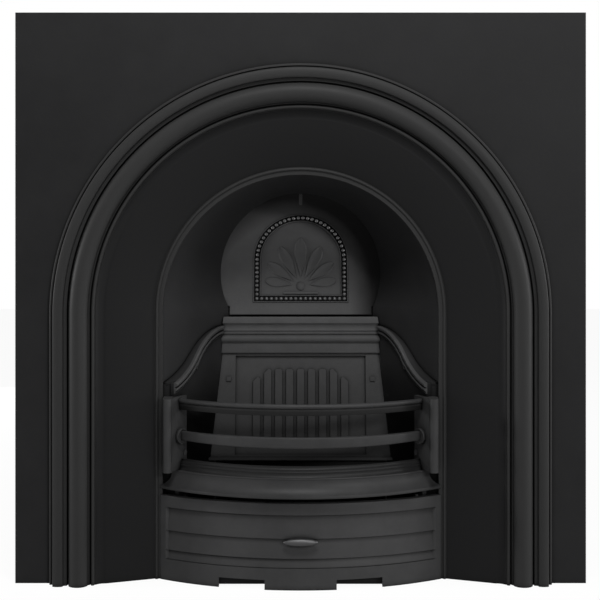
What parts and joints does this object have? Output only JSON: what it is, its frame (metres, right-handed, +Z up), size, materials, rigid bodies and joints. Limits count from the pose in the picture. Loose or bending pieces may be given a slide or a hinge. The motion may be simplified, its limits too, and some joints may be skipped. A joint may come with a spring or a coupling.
{
  "type": "cast iron fireplace insert",
  "caption": "Arched cast iron fireplace insert with moulded face plate, hooded firebox, tilting damper, curved bars, lift-out grate, ashpan and curved ashpan cover.",
  "frame": {"origin": "middle of the footprint on the hearth, at the bottom of the box round the part", "axes": "+X to the viewer's right along the face plate, +Y into the wall, +Z up"},
  "size_m": [0.965, 0.323, 0.965],
  "materials": {
    "blackened_iron": "matt black, blackleaded casting",
    "fireback_iron": "matt dark grey casting",
    "fire_front_iron": "satin black, blackleaded casting",
    "sheet_steel": "matt black sheet steel",
    "knob_steel": "polished steel",
    "bolt_steel": "dull dark steel"
  },
  "bodies": {
    "surround": {"front_plate": "blackened_iron", "canopy": "blackened_iron", "cheek_left": "blackened_iron", "cheek_right": "blackened_iron", "fireback": "fireback_iron", "damper_rod": "bolt_steel", "damper_brackets": "blackened_iron", "damper_stop": "blackened_iron", "bracket_screws": "bolt_steel", "jamb_left": "fire_front_iron", "jamb_right": "fire_front_iron", "top_bar": "fire_front_iron", "middle_bar": "fire_front_iron", "front_skirt": "fire_front_iron", "canopy_bolts": "bolt_steel", "cheek_bolts": "bolt_steel", "fireback_bolts": "bolt_steel", "fireback_nuts": "bolt_steel", "jamb_bolts": "bolt_steel", "skirt_bolts": "bolt_steel", "wall_brackets": "blackened_iron", "wall_bracket_bolts": "bolt_steel"},
    "damper": {"damper_plate": "blackened_iron"},
    "grate": {"bottom_grate": "fire_front_iron"},
    "ashpan": {"ashpan": "sheet_steel", "ashpan_handle": "sheet_steel"},
    "cover": {"ashpan_cover": "fire_front_iron", "cover_knob": "knob_steel", "knob_nut": "knob_steel"}
  },
  "joints": [
    {"name": "damper_tilt", "type": "hinge", "parent": "surround", "child": "damper", "pos_m": [0, 0.09897, 0.447], "axis": [1, 0, 0], "range_deg": [0, 14.5]},
    {"name": "grate_lift", "type": "slide", "parent": "surround", "child": "grate", "axis": [0, 0, 1], "range_m": [0, 0.05]},
    {"name": "cover_slide", "type": "slide", "parent": "surround", "child": "cover", "axis": [0, -1, 0], "range_m": [0, 0.4]},
    {"name": "ashpan_slide", "type": "slide", "parent": "surround", "child": "ashpan", "axis": [0, -1, 0], "range_m": [0, 0.2]}
  ],
  "couplings": [
    {"joint": "ashpan_slide", "follows": "cover_slide", "ratio": 0.5}
  ]
}
